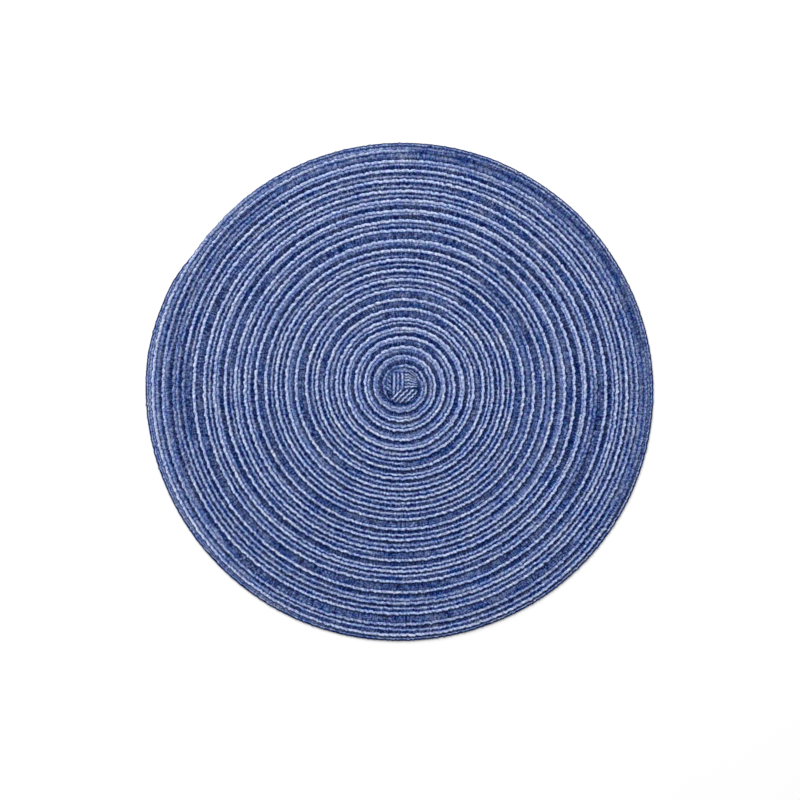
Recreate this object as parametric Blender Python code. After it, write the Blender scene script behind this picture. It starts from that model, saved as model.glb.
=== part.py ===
"""A round woven placemat, wound from one long flat strap of space-dyed yarn.

The strap starts in a small folded pad at the middle.  It is then wound outwards,
clockwise as seen from above, each turn half covered by the turn before it, and sewn
down.  So the mat is two straps thick all over, one strap thick at its rim, and its
face is a spiral of low steps: every turn has a rib along its middle, a groove, and a
raised edge rib that stands over the next turn out.  The strap's outer end is cut off
and tucked against the turn before.

Everything is one closed solid, the node "mat".  Units are metres, +Z is up, and the
origin is the middle of the flat underside's bounding box.
"""

import math

import bmesh
import bpy
import numpy as np

# --- the strap and its winding -------------------------------------------------------
STRAP_THICKNESS = 0.0018
# Two layers lie on each other wherever one turn covers the next.
LAPPED_THICKNESS = 2.0 * STRAP_THICKNESS
# The step from a raised edge down to the next turn, and how wide its slope is.
STEP_HEIGHT = 0.0011
STEP_WIDTH = 0.0014
# The face of a turn between the step's foot and its own raised edge: how far across
# each line lies, as a share, and how far it stands off the straight slope.
RIB_LINES = (
    # line, share, stands off
    ("middle rib", 0.35, 0.00026),
    ("groove", 0.62, -0.00022),
)
# Radius of the first raised edge, where it leaves the folded pad at the top.
FIRST_EDGE_RADIUS = 0.01483
# The turns are drawn tighter near the pad: the pitch grows outwards to the rim's.
PITCH_AT_RIM = 0.00745
PITCH_AT_PAD = 0.0066
PITCH_SETTLES_OVER = 8.0
# Turns run from 0 at the pad to the cut end; turn 0 starts in the +Y direction.
END_TURN = 23.845
START_ANGLE = math.radians(90.0)

# --- the last turn -------------------------------------------------------------------
# How far the last turn is drawn in from the even spiral, and the cut end's tuck.
LAST_TURN = (
    # turn, drawn in
    (22.90, 0.0000),
    (23.25, 0.0020),
    (23.60, 0.0024),
    (23.73, 0.0013),
    (23.80, 0.0030),
    (23.845, 0.0072),
)
# Past this turn no further turn lies underneath, and the edge sinks to one strap.
RIM_STARTS = END_TURN - 1.0
RIM_SINKS_OVER = 0.10

# --- hand-wound unevenness -----------------------------------------------------------
# Slow waves along the winding: waves in each turn, sideways sway, rise, phase.
SWAY = (
    # waves, sideways, rise, phase
    (0.37, 0.00022, 0.00006, 0.4),
    (2.03, 0.00024, 0.00005, 1.9),
    (3.04, 0.00014, 0.00005, 4.1),
    (5.08, 0.00008, 0.00004, 2.7),
)
SWAY_GROWS_OVER = 6.0

# --- the folded pad in the middle ----------------------------------------------------
# The strap's first end is folded over itself into facets that meet at a low crown.
PAD_RADIUS = 0.0105
PAD_CROWN = (-0.0006, -0.0012)
PAD_CROWN_HEIGHT = 0.0044
PAD_CREASE_HEIGHT = 0.0041
PAD_FACET_HEIGHT = 0.0030
PAD_CREASES = (math.radians(98.0), math.radians(212.0), math.radians(338.0))
PAD_CREASE_SPREAD = math.radians(48.0)
# The trough between the pad and the first raised edge.
TROUGH_SHARE = 0.86
TROUGH_HEIGHT = 0.0025

STEPS_PER_TURN = 60


def smooth_step(value, start, width):
    """Rise from 0 to 1 over width, starting at start, with level ends."""
    share = np.clip((value - start) / width, 0.0, 1.0)
    return share * share * (3.0 - 2.0 * share)


def sway(turn, column):
    """Sum the slow waves of SWAY at a turn, for the sideways or the rise column."""
    growth = 1.0 - np.exp(-turn / SWAY_GROWS_OVER)
    total = sum(
        row[column] * np.sin(2.0 * math.pi * row[0] * turn + row[3]) for row in SWAY
    )
    return growth * total


def edge_radius(turn):
    """Radius of the raised edge: an even spiral, its sway, and the last turn drawn in."""
    slack = (PITCH_AT_RIM - PITCH_AT_PAD) * PITCH_SETTLES_OVER
    spiral = (
        FIRST_EDGE_RADIUS
        + PITCH_AT_RIM * turn
        - slack * (1.0 - np.exp(-turn / PITCH_SETTLES_OVER))
    )
    turns, drawn_in = zip(*LAST_TURN)
    return spiral + sway(turn, 1) - np.interp(turn, turns, drawn_in)


def edge_height(turn):
    """Height of the raised edge: two straps, sinking to one strap along the rim."""
    sunk = (LAPPED_THICKNESS - STRAP_THICKNESS) * smooth_step(
        turn, RIM_STARTS, RIM_SINKS_OVER
    )
    return LAPPED_THICKNESS + sway(turn, 2) - sunk


def winding_points(turn, radius, height):
    """Points of the spiral at the given turns, as rows of x, y, z."""
    angle = START_ANGLE - 2.0 * math.pi * turn
    return np.column_stack((radius * np.cos(angle), radius * np.sin(angle), height))


def facet_height(angle):
    """Height of the pad's rim: high at each crease, low in the middle of a facet."""
    turned = [abs(math.remainder(angle - crease, 2.0 * math.pi)) for crease in PAD_CREASES]
    nearness = max(0.0, 1.0 - min(turned) / PAD_CREASE_SPREAD)
    return PAD_FACET_HEIGHT + (PAD_CREASE_HEIGHT - PAD_FACET_HEIGHT) * nearness


def strip(lower, upper):
    """Quads between two rows of vertices of the same length, walked side by side."""
    return [
        (lower[i], lower[i + 1], upper[i + 1], upper[i]) for i in range(len(lower) - 1)
    ]


def add_faces(mesh, corner_sets):
    """Add faces; where two of a face's corners are one vertex, it loses a side."""
    for corners in corner_sets:
        distinct = tuple(dict.fromkeys(corners))
        if len(distinct) > 2:
            mesh.faces.new(distinct)


def add_winding(mesh):
    """Add the spiral's face; return its raised edge and the border around the pad.

    At each angle the face runs out from a turn's edge down its step to the foot, then
    over the next turn's rib lines to that turn's edge.  Every line ends in the edge's
    last vertex, where the cut end meets the turn before.  The border is the edge's
    first turn, closed by the first vertices of the lines that start beside it.
    """
    count = int(round(END_TURN * STEPS_PER_TURN))
    turn = np.arange(count + 1) / STEPS_PER_TURN
    radius = edge_radius(turn)
    height = edge_height(turn)
    edge = [mesh.verts.new(p) for p in winding_points(turn, radius, height)]

    covered = count - STEPS_PER_TURN
    inner = slice(0, covered)
    outer = slice(STEPS_PER_TURN, count)
    foot_radius = radius[inner] + STEP_WIDTH
    foot_height = height[inner] - STEP_HEIGHT
    lines = [(foot_radius, foot_height)]
    for _, share, stands_off in RIB_LINES:
        line_radius = foot_radius + share * (radius[outer] - foot_radius)
        slope = foot_height + share * (height[outer] - foot_height)
        lines.append((line_radius, slope + stands_off))

    rows = [edge[: covered + 1]]
    for line_radius, line_height in lines:
        points = winding_points(turn[inner], line_radius, line_height)
        rows.append([mesh.verts.new(p) for p in points] + [edge[count]])
    rows.append(edge[STEPS_PER_TURN:])
    for lower, upper in zip(rows, rows[1:]):
        add_faces(mesh, strip(upper, lower))
    border = edge[: STEPS_PER_TURN + 1] + [row[0] for row in reversed(rows[1:-1])]
    return edge, border


def add_folded_pad(mesh, border):
    """Close the middle: a trough inside the border, the pad's rim, facets to a crown."""
    trough = []
    rim = []
    for vertex in border:
        x, y = vertex.co.x, vertex.co.y
        angle = math.atan2(y - PAD_CROWN[1], x - PAD_CROWN[0])
        trough.append(
            mesh.verts.new((x * TROUGH_SHARE, y * TROUGH_SHARE, TROUGH_HEIGHT))
        )
        rim_x = PAD_CROWN[0] + PAD_RADIUS * math.cos(angle)
        rim_y = PAD_CROWN[1] + PAD_RADIUS * math.sin(angle)
        rim.append(mesh.verts.new((rim_x, rim_y, facet_height(angle))))
    crown = mesh.verts.new((*PAD_CROWN, PAD_CROWN_HEIGHT))
    closed = [row + row[:1] for row in (border, trough, rim)]
    for corners in strip(closed[0], closed[1]) + strip(closed[1], closed[2]):
        mesh.faces.new(corners)
    for first, second in zip(closed[2], closed[2][1:]):
        mesh.faces.new((first, second, crown))


def add_rim_and_underside(mesh, outline):
    """Drop a wall from the outline to z = 0 and close the flat underside."""
    ground = [mesh.verts.new((v.co.x, v.co.y, 0.0)) for v in outline]
    closed_outline = outline + outline[:1]
    closed_ground = ground + ground[:1]
    for corners in strip(closed_ground, closed_outline):
        mesh.faces.new(corners)
    mesh.faces.new(ground)


def build_mat():
    """Build the one closed solid and return its mesh, with its origin underneath."""
    mesh = bmesh.new()
    edge, border = add_winding(mesh)
    add_folded_pad(mesh, border)
    # The outline is the last whole turn of the edge.  It ends where the cut end meets
    # the step of the turn before, beside that turn's own edge.
    last_turn = edge[len(edge) - 1 - STEPS_PER_TURN :]
    add_rim_and_underside(mesh, last_turn)
    bmesh.ops.triangulate(mesh, faces=mesh.faces[:])
    bmesh.ops.recalc_face_normals(mesh, faces=mesh.faces[:])

    points = np.array([v.co for v in mesh.verts])
    middle = (points.min(axis=0) + points.max(axis=0)) / 2.0
    bmesh.ops.translate(mesh, verts=mesh.verts[:], vec=(-middle[0], -middle[1], 0.0))

    data = bpy.data.meshes.new("mat")
    mesh.to_mesh(data)
    mesh.free()
    return data


def yarn_material():
    """Soft matt yarn, space-dyed from navy to lavender: its mean colour, no shine."""
    material = bpy.data.materials.new("woven_yarn")
    material.use_nodes = True
    shader = material.node_tree.nodes["Principled BSDF"]
    shader.inputs["Base Color"].default_value = (0.112, 0.150, 0.305, 1.0)
    shader.inputs["Roughness"].default_value = 0.95
    shader.inputs["Metallic"].default_value = 0.0
    return material


def main():
    """Clear the scene and add the placemat."""
    for old in list(bpy.data.objects):
        bpy.data.objects.remove(old, do_unlink=True)
    data = build_mat()
    data.materials.append(yarn_material())
    bpy.context.scene.collection.objects.link(bpy.data.objects.new("mat", data))


main()
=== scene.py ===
"""The looks of a round placemat wound from one strap of space-dyed yarn.

The strap is a flat ribbed tape about 13 mm wide.  Its first end is folded into a small
pad with four ribbed facets.  The rest is wound outwards, clockwise from above, and
each turn lies with its inner half under the turn before it.  What shows of a turn is
its plaited edge rib and a band of yarns that runs down to the next border in.

Everything about the strap is worked out in millimetres and in turns of the winding,
and becomes metres where a mesh is made.  Turn 0 is where the strap's edge leaves the
pad, at the top, and whole turns are at the top too.
"""

import logging
import math
from dataclasses import dataclass
from enum import Enum

import bpy
import numpy as np
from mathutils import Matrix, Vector


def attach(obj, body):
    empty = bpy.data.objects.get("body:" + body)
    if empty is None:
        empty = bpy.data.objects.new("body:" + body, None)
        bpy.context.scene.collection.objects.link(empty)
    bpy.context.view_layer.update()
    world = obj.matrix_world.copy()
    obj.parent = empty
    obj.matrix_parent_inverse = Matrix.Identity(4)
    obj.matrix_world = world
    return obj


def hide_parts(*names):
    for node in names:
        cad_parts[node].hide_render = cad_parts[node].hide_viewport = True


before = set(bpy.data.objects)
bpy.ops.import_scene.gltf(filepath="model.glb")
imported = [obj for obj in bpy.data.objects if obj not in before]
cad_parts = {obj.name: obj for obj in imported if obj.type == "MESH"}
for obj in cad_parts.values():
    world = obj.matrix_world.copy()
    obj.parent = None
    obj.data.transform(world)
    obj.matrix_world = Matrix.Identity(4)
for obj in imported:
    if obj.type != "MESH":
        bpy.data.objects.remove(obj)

LOG = logging.getLogger("placemat")
MAT_NODE = "mat"
BODY = "root"
MM = 0.001
FULL_TURN = 2.0 * math.pi
# Angles count from +X, and the top lies a quarter turn from it.
TOP = 0.25
IMAGE_WIDTH_PX = 800
# A sine stretched this far leaves digits that look random, and are the same at every run.
HASH_STEP = 12.9898
HASH_SEED_STEP = 78.233
HASH_STRETCH = 43758.5453


class Shade(Enum):
    """How pale a stretch of dyed yarn is: 0 is black-navy, 1 is the palest lavender."""

    NAVY = 0.24
    HEATHER = 0.48
    MIST = 0.57
    PALE = 0.66
    BRIGHT = 0.77


class Lane(Enum):
    """Where the palest yarn of a turn's band lies: a share from the last rib to its own."""

    EDGE = 0.75
    NEAR = 0.68
    MIDDLE = 0.61
    CENTRE = 0.53
    FAR = 0.45


# Short names, mostly for the rows of the dye chart.
NAVY, HEATHER, MIST, PALE, BRIGHT = Shade
EDGE, NEAR, MIDDLE, CENTRE, FAR = Lane


# --- arithmetic on whole arrays ------------------------------------------------------


def smooth_step(value: np.ndarray, start: float, width: float) -> np.ndarray:
    """Rise from 0 to 1 over a width, with level ends.

    Args:
        value: Where to work it out.
        start: The value where the rise starts.
        width: How far the rise goes on.

    Returns:
        3 t^2 - 2 t^3, where t is the share of the width that is passed.
    """
    share = np.clip((value - start) / width, 0.0, 1.0)
    return share * share * (3.0 - 2.0 * share)


def hashed(cell: np.ndarray, seed: float) -> np.ndarray:
    """Give each whole number its own value from -1 to 1, the same at every run."""
    wave = np.sin(cell * HASH_STEP + seed * HASH_SEED_STEP) * HASH_STRETCH
    return 2.0 * (wave - np.floor(wave)) - 1.0


def value_noise(place: np.ndarray, seed: float) -> np.ndarray:
    """Smooth noise from -1 to 1 along a line.

    Args:
        place: Position along the line; the noise changes over a length of about 1.
        seed: Which noise; it may be an array, one seed for each column.

    Returns:
        Hashed values at the whole numbers, eased into each other between them.
    """
    cell = np.floor(place)
    share = place - cell
    ease = share * share * (3.0 - 2.0 * share)
    return hashed(cell, seed) * (1.0 - ease) + hashed(cell + 1.0, seed) * ease


@dataclass(frozen=True)
class Stray:
    """How something strays on its way along the strap.

    Attributes:
        length: The distance over which it changes, in millimetres.
        size: How far it strays at most.
        seed: Which noise it follows.
    """

    length: float
    size: float
    seed: float = 0.0

    def at(self, along: np.ndarray, number: np.ndarray | float = 0.0) -> np.ndarray:
        """How far it has strayed at places along the strap.

        Args:
            along: The places, in millimetres.
            number: Which of several yarns or lanes it is: each follows its own noise.

        Returns:
            The size times a smooth noise from -1 to 1.
        """
        return self.size * value_noise(along / self.length, self.seed + number)


def summed(
    strays: tuple[Stray, ...], along: np.ndarray, number: np.ndarray | float = 0.0
) -> np.ndarray:
    """Add up the strays of one thing at places along the strap."""
    return sum(stray.at(along, number) for stray in strays)


def rounded(distance: np.ndarray, radius: float) -> np.ndarray:
    """Height of a round yarn over its own axis' level, 1 on its crown and 0 beside it."""
    return np.sqrt(np.clip(1.0 - (distance / radius) ** 2, 0.0, 1.0))


# --- meshes and nodes ----------------------------------------------------------------


def add_object(name: str, data: bpy.types.ID) -> bpy.types.Object:
    """Make an object and link it into the scene.

    Args:
        name: The object's name.
        data: A mesh, a lamp or a lens.

    Returns:
        The object, at the origin.
    """
    thing = bpy.data.objects.new(name, data)
    bpy.context.scene.collection.objects.link(thing)
    return thing


@dataclass
class Shell:
    """A closed mesh while it is worked out, as whole arrays.

    Attributes:
        points: Vertex places in metres, one row each.
        faces: Corners of the four-sided faces, one row each.
        caps: Rows of vertices that close the ends, each one a face.
        maps: For each UV map, the place of every corner, in the order of the faces.
        values: For each named attribute, one number for every vertex.
    """

    points: np.ndarray
    faces: np.ndarray
    caps: list[np.ndarray]
    maps: dict[str, np.ndarray]
    values: dict[str, np.ndarray]

    def to_object(self, name: str, material: bpy.types.Material) -> bpy.types.Object:
        """Make the shell a smooth-shaded object at the origin.

        Args:
            name: The piece's name.
            material: Its finish.

        Returns:
            The object, linked into the scene.
        """
        mesh = bpy.data.meshes.new(name)
        corners = np.concatenate([self.faces.ravel(), *self.caps])
        sides = np.concatenate(
            [np.full(len(self.faces), 4), [len(cap) for cap in self.caps]]
        ).astype(np.int32)
        mesh.vertices.add(len(self.points))
        mesh.vertices.foreach_set("co", self.points.astype(np.float32).ravel())
        mesh.loops.add(len(corners))
        mesh.loops.foreach_set("vertex_index", corners.astype(np.int32))
        mesh.polygons.add(len(sides))
        starts = np.concatenate([[0], np.cumsum(sides)[:-1]]).astype(np.int32)
        mesh.polygons.foreach_set("loop_start", starts)
        mesh.update(calc_edges=True)
        mesh.shade_smooth()
        self._crease_caps(mesh)
        for map_name, places in self.maps.items():
            layer = mesh.uv_layers.new(name=map_name)
            layer.uv.foreach_set("vector", places.astype(np.float32).ravel())
        for value_name, numbers in self.values.items():
            attribute = mesh.attributes.new(value_name, "FLOAT", "POINT")
            attribute.data.foreach_set("value", numbers.astype(np.float32).ravel())
        mesh.materials.append(material)
        return add_object(name, mesh)

    def _crease_caps(self, mesh: bpy.types.Mesh) -> None:
        """Keep the shading of the long sides clear of the end caps.

        Args:
            mesh: The mesh, whose caps' borders become sharp edges.
        """
        ends = np.zeros(len(mesh.vertices), dtype=np.int32)
        for number, cap in enumerate(self.caps, start=1):
            ends[cap] = number
        pairs = np.empty(len(mesh.edges) * 2, dtype=np.int32)
        mesh.edges.foreach_get("vertices", pairs)
        sides = ends[pairs.reshape(-1, 2)]
        sharp = (sides[:, 0] > 0) & (sides[:, 0] == sides[:, 1])
        attribute = mesh.attributes.new("sharp_edge", "BOOLEAN", "EDGE")
        attribute.data.foreach_set("value", sharp)


def linear(hex_colour: str) -> tuple[float, float, float, float]:
    """Turn an sRGB hex colour such as "#20304F" into linear light.

    Args:
        hex_colour: Two hex digits each for red, green and blue, after a #.

    Returns:
        Red, green and blue, taken through the sRGB standard's own curve, and alpha 1.
    """
    parts = [int(hex_colour[i : i + 2], 16) / 255.0 for i in (1, 3, 5)]
    rgb = [p / 12.92 if p <= 0.04045 else ((p + 0.055) / 1.055) ** 2.4 for p in parts]
    return (*rgb, 1.0)


def add_node(
    tree: bpy.types.NodeTree,
    kind: str,
    inputs: dict[str | int, object] | None = None,
    **settings: object,
) -> bpy.types.Node:
    """Add a node with its settings, and fill or link its inputs.

    Args:
        tree: The material's or the world's nodes.
        kind: Blender's name for the node.
        inputs: For each input, a value or the output that it is linked to.
        **settings: The node's own properties.

    Returns:
        The new node.
    """
    node = tree.nodes.new(kind)
    for name, value in settings.items():
        setattr(node, name, value)
    for key, value in (inputs or {}).items():
        if isinstance(value, bpy.types.NodeSocket):
            tree.links.new(value, node.inputs[key])
        else:
            node.inputs[key].default_value = value
    return node


def add_material(name: str, inputs: dict[str, object]) -> bpy.types.Material:
    """Make a material with one Principled shader.

    Args:
        name: The material's name.
        inputs: For each of the shader's inputs, a value.

    Returns:
        The material.
    """
    material = bpy.data.materials.new(name)
    material.use_nodes = True
    shader = material.node_tree.nodes["Principled BSDF"]
    for key, value in inputs.items():
        shader.inputs[key].default_value = value
    return material


# --- finishes ------------------------------------------------------------------------


@dataclass(frozen=True)
class SpaceDyedYarn:
    """Soft spun yarn, dyed in stretches from navy to pale lavender, then woven.

    The eye sees matt strands with short hairs: the dye changes along each strand, and
    the picks that cross the ribs show as fine strokes in the grooves.

    Attributes:
        dyes: Colour of the yarn at each tone, from 0, navy, to 1, palest lavender.
        roughness, ior, specular, sheen, sheen_roughness: The shader's own: matt yarn
            with next to no shine.
        fibre_length_mm, fibre_width_mm: Size of a hair-fine streak along the strap.
        pick_spacing_mm, pick_length_mm: Size of a stroke across the strap's grooves.
        hue_patch_mm: Size of the patches where the dye drifts to violet or to teal.
        soak_patch_mm: Size of the patches where the dye is stronger or weaker.
        fibre_tone: How much a streak changes the tone.
        pick_tone, groove_tone: How much a stroke changes the tone on a yarn, and how
            much more in a groove.
        hue_drift, soak_drift: How much the patches change the hue and the saturation.
        noise_detail: How much finer detail the streaks and patches have.
        bump_mm, bump_strength: Relief of the streaks and strokes.
    """

    name: str = "space_dyed_woven_yarn"
    dyes: tuple[tuple[float, str], ...] = (
        (0.00, "#050F3B"),
        (0.25, "#324576"),
        (0.50, "#6373A1"),
        (0.75, "#95A3CB"),
        (1.00, "#C8D3F0"),
    )
    roughness: float = 0.92
    ior: float = 1.5
    specular: float = 0.06
    sheen: float = 0.02
    fibre_length_mm: float = 2.2
    fibre_width_mm: float = 0.45
    pick_spacing_mm: float = 2.2
    pick_length_mm: float = 2.6
    hue_patch_mm: float = 5.0
    soak_patch_mm: float = 16.0
    fibre_tone: float = 0.30
    pick_tone: float = 0.20
    groove_tone: float = 0.30
    hue_drift: float = 0.045
    soak_drift: float = 0.34
    noise_detail: float = 1.5
    bump_mm: float = 0.25
    bump_strength: float = 0.6
    sheen_roughness: float = 0.5

    def build(self) -> bpy.types.Material:
        """Make the material.

        Returns:
            A Principled material that reads the pieces' tone, groove and yarn map.
        """
        material = add_material(
            self.name,
            {
                "Roughness": self.roughness,
                "IOR": self.ior,
                "Specular IOR Level": self.specular,
                "Sheen Weight": self.sheen,
                "Sheen Roughness": self.sheen_roughness,
            },
        )
        tree = material.node_tree
        shader = tree.nodes["Principled BSDF"]
        place = add_node(tree, "ShaderNodeUVMap", uv_map="yarn").outputs["UV"]
        tone = add_node(tree, "ShaderNodeAttribute", attribute_name="tone").outputs["Fac"]
        groove = add_node(tree, "ShaderNodeAttribute", attribute_name="groove")
        fibre = self._streaks(tree, place, self.fibre_length_mm, self.fibre_width_mm)
        picks = self._streaks(tree, place, self.pick_spacing_mm / 2.0, self.pick_length_mm)
        pick_share = self._math(
            tree, "MULTIPLY_ADD", groove.outputs["Fac"], self.groove_tone, self.pick_tone
        )
        picks_here = self._math(tree, "MULTIPLY", picks, pick_share)
        uneven = self._math(tree, "MULTIPLY_ADD", fibre, self.fibre_tone, picks_here)
        toned = self._math(tree, "ADD", tone, uneven)
        dyed = add_node(tree, "ShaderNodeValToRGB", {"Fac": toned})
        self._set_ramp(dyed.color_ramp)
        # A patch is a third or a quarter as wide as long.  A hue of 0.5 and a saturation
        # of 1 leave the dye as it is.
        drift = self._streaks(tree, place, self.hue_patch_mm, self.hue_patch_mm / 3.0)
        hue = self._math(tree, "MULTIPLY_ADD", drift, self.hue_drift, 0.5)
        soak = self._streaks(tree, place, self.soak_patch_mm, self.soak_patch_mm / 4.0)
        saturation = self._math(tree, "MULTIPLY_ADD", soak, self.soak_drift, 1.0)
        drifted = add_node(
            tree,
            "ShaderNodeHueSaturation",
            {"Hue": hue, "Saturation": saturation, "Color": dyed.outputs["Color"]},
        )
        tree.links.new(drifted.outputs["Color"], shader.inputs["Base Color"])
        bump = add_node(
            tree,
            "ShaderNodeBump",
            {
                "Strength": self.bump_strength,
                "Distance": self.bump_mm * MM,
                "Height": uneven,
            },
        )
        tree.links.new(bump.outputs["Normal"], shader.inputs["Normal"])
        return material

    def _streaks(
        self,
        tree: bpy.types.NodeTree,
        place: bpy.types.NodeSocket,
        along: float,
        across: float,
    ) -> bpy.types.NodeSocket:
        """Add noise that lies in streaks.

        Args:
            tree: The material's nodes.
            place: The yarn map, in metres along and across the strap.
            along: Length of a streak in millimetres.
            across: Its width in millimetres.

        Returns:
            The output of the noise, which lies about 0.
        """
        scaled = add_node(
            tree,
            "ShaderNodeVectorMath",
            {0: place, 1: (1.0 / (along * MM), 1.0 / (across * MM), 0.0)},
            operation="MULTIPLY",
        )
        noise = add_node(
            tree,
            "ShaderNodeTexNoise",
            {"Vector": scaled.outputs[0], "Scale": 1.0, "Detail": self.noise_detail},
            noise_dimensions="2D",
        )
        return self._math(tree, "MULTIPLY_ADD", noise.outputs["Fac"], 2.0, -1.0)

    def _math(
        self, tree: bpy.types.NodeTree, operation: str, *values: object
    ) -> bpy.types.NodeSocket:
        """Add a Math node on values or outputs, and give its output."""
        node = add_node(tree, "ShaderNodeMath", dict(enumerate(values)), operation=operation)
        return node.outputs[0]

    def _set_ramp(self, ramp: bpy.types.ColorRamp) -> None:
        """Put the dyes on a colour ramp, at their tones.

        Args:
            ramp: The ramp; it is given as many stops as there are dyes.
        """
        while len(ramp.elements) < len(self.dyes):
            ramp.elements.new(0.5)
        for element, (tone, colour) in zip(ramp.elements, self.dyes):
            element.position = tone
            element.color = linear(colour)


@dataclass(frozen=True)
class MattPaper:
    """White seamless studio paper: an even, shadowless ground with no gloss."""

    name: str = "matt_white_paper"
    colour: str = "#F4F4F4"
    roughness: float = 0.9

    def build(self) -> bpy.types.Material:
        """Make the material of the floor."""
        return add_material(
            self.name,
            {
                "Base Color": linear(self.colour),
                "Roughness": self.roughness,
                "Specular IOR Level": 0.0,
            },
        )


# --- the strap and its winding -------------------------------------------------------


@dataclass(frozen=True)
class Winding:
    """The spiral in which the strap is wound: the line of its edge rib.

    Lengths are in millimetres.  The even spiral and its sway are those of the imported
    solid.  The drift and the last turn follow the real mat more closely than it does.

    Attributes:
        middle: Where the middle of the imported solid's outline lies, from the spiral's
            own centre: the frame's origin.
        first_radius: Radius at turn 0.
        pitch_at_rim, pitch_at_pad: Distance from turn to turn, far out and at the pad.
        pitch_settles_over: Turns over which the one gives way to the other.
        start_turn, end_turn: Where the strap comes out of the pad, and its cut end.
        drawn_in: Turn, and how far the last turn lies inside the even spiral there.
        sway: Waves in each turn, how far they go sideways, and their phase.
        sway_grows_over: Turns over which the sway grows to its full size.
        drift: Stretches that lie off the even spiral: the turn in their middle, over
            how many turns they fade, and how far out they lie.
        measuring_points: Points at which the length of the winding is added up.
    """

    middle: tuple[float, float] = (-1.893, -0.911)
    first_radius: float = 14.83
    pitch_at_rim: float = 7.45
    pitch_at_pad: float = 6.6
    pitch_settles_over: float = 8.0
    start_turn: float = -0.62
    end_turn: float = 23.845
    drawn_in: tuple[tuple[float, float], ...] = (
        (22.80, 0.0),
        (22.86, 0.3),
        (22.92, -0.3),
        (23.00, 0.4),
        (23.06, 0.6),
        (23.18, 2.3),
        (23.33, 2.2),
        (23.44, 3.2),
        (23.60, 2.9),
        (23.67, 2.3),
        (23.77, 1.4),
        (23.82, 3.4),
        (23.845, 7.2),
    )
    sway: tuple[tuple[float, float, float], ...] = (
        (0.37, 0.22, 0.4),
        (2.03, 0.24, 1.9),
        (3.04, 0.14, 4.1),
        (5.08, 0.08, 2.7),
    )
    sway_grows_over: float = 6.0
    drift: tuple[tuple[float, float, float], ...] = (
        (5.5, 2.5, -0.2),
        (19.5, 3.0, 0.3),
        (22.2, 0.10, -1.5),
        (22.6, 0.07, -0.9),
    )
    measuring_points: int = 24000

    def even_radius(self, turn: np.ndarray) -> np.ndarray:
        """Radius of an even spiral whose pitch grows from the pad's to the rim's.

        Args:
            turn: Turns from the pad.

        Returns:
            The first radius, plus the rim's pitch for each turn, less what the tighter
            first turns save, which settles exponentially.
        """
        slack = (self.pitch_at_rim - self.pitch_at_pad) * self.pitch_settles_over
        saved = slack * (1.0 - np.exp(-turn / self.pitch_settles_over))
        return self.first_radius + self.pitch_at_rim * turn - saved

    def radius(self, turn: np.ndarray) -> np.ndarray:
        """Radius of the edge line.

        Args:
            turn: Turns from the pad.

        Returns:
            The radius in millimetres: the even spiral's, plus the sines of the sway and
            the bell curves of the drift, less what the last turn is drawn in.
        """
        growth = 1.0 - np.exp(-np.maximum(turn, 0.0) / self.sway_grows_over)
        waves = sum(
            side * np.sin(FULL_TURN * count * turn + phase)
            for count, side, phase in self.sway
        )
        drifts = sum(
            side * np.exp(-(((turn - middle) / fades) ** 2))
            for middle, fades, side in self.drift
        )
        turns, drawn = zip(*self.drawn_in)
        pulled_in = np.interp(turn, turns, drawn)
        return self.even_radius(turn) + growth * waves + drifts - pulled_in

    def pitch(self, turn: np.ndarray) -> np.ndarray:
        """Distance from the turn before, on the even spiral."""
        return self.even_radius(turn) - self.even_radius(turn - 1.0)

    def angle(self, turn: np.ndarray) -> np.ndarray:
        """Angle from +X of a place on the winding: turns go clockwise from the top."""
        return FULL_TURN * (TOP - turn)

    def stations(self, step: float) -> tuple[np.ndarray, np.ndarray]:
        """Evenly spaced places along the strap.

        Args:
            step: How far apart they are, in millimetres.

        Returns:
            The turn of each place, and its distance along the strap from turn 0.
        """
        turn = np.linspace(self.start_turn, self.end_turn, self.measuring_points)
        pace = FULL_TURN * self.radius(turn)
        stretches = 0.5 * (pace[1:] + pace[:-1]) * np.diff(turn)
        along = np.concatenate([[0.0], np.cumsum(stretches)])
        along -= np.interp(0.0, turn, along)
        count = int(round((along[-1] - along[0]) / step)) + 1
        places = np.linspace(along[0], along[-1], count)
        return np.interp(places, along, turn), places


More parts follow.
